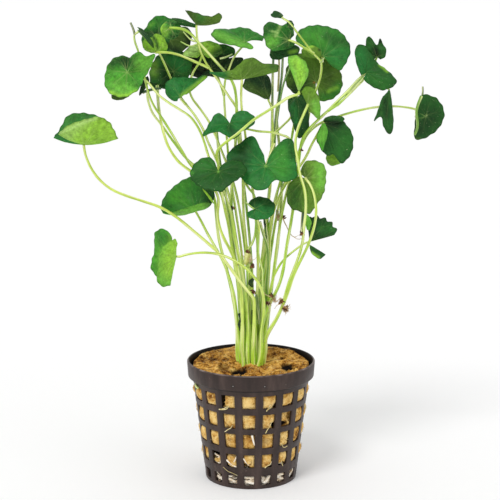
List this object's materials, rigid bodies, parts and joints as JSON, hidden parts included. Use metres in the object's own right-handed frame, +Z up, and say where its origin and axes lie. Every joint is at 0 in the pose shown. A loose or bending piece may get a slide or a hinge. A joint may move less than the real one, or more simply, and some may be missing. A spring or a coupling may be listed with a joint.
{
  "type": "potted aquarium plant",
  "caption": "Potted japanese cress for an aquarium or pond: round and kidney-shaped leaves on long thin stems, rooted in a rockwool plug in a net pot.",
  "frame": {"origin": "centre of the pot's underside, on the surface it stands on", "axes": "+Z up along the pot's axis, -Y to the front as pictured, +X to the front view's right"},
  "size_m": [0.1563, 0.0537, 0.1942],
  "materials": {
    "pot_plastic": "satin",
    "rockwool": "fibrous matte",
    "root": "matte",
    "leaf": "satin",
    "stem": "satin"
  },
  "bodies": {
    "root": {"leaf_back_left": "leaf", "leaf_back_middle": "leaf", "leaf_big_dark": "leaf", "leaf_big_left": "leaf", "leaf_big_round": "leaf", "leaf_crest": "leaf", "leaf_crinkled": "leaf", "leaf_curly": "leaf", "leaf_dark_hanging": "leaf", "leaf_dark_middle": "leaf", "leaf_dark_sliver": "leaf", "leaf_far_left": "leaf", "leaf_far_right": "leaf", "leaf_heart": "leaf", "leaf_heart_middle": "leaf", "leaf_kidney": "leaf", "leaf_kidney_left": "leaf", "leaf_kidney_middle": "leaf", "leaf_left_hand": "leaf", "leaf_light_folded": "leaf", "leaf_light_pair": "leaf", "leaf_light_right": "leaf", "leaf_low_left": "leaf", "leaf_mottled": "leaf", "leaf_narrow_hanging": "leaf", "leaf_right_round": "leaf", "leaf_round_under": "leaf", "leaf_saddle": "leaf", "leaf_scalloped": "leaf", "leaf_small_dark": "leaf", "leaf_thin_edge": "leaf", "leaf_tip": "leaf", "leaf_top_left": "leaf", "leaf_under_right": "leaf", "leaf_wide_curl": "leaf", "net_pot": "pot_plastic", "rockwool_plug": "rockwool", "roots": "root", "shoot_arch": "stem", "shoot_big_dark": "stem", "shoot_crest": "stem", "shoot_crinkled": "stem", "shoot_far_right": "stem", "shoot_fork_right": "stem", "shoot_heart": "stem", "shoot_kidney": "stem", "shoot_left_back": "stem", "shoot_left_bow": "stem", "shoot_left_slant": "stem", "shoot_left_tall": "stem", "shoot_middle": "stem", "shoot_mottled": "stem", "shoot_pale_tall": "stem", "shoot_right_round": "stem", "shoot_round": "stem", "shoot_saddle": "stem", "shoot_wide": "stem", "stalk_far_left": "stem", "stalk_left": "stem", "stalk_low_left": "stem"}
  },
  "joints": []
}
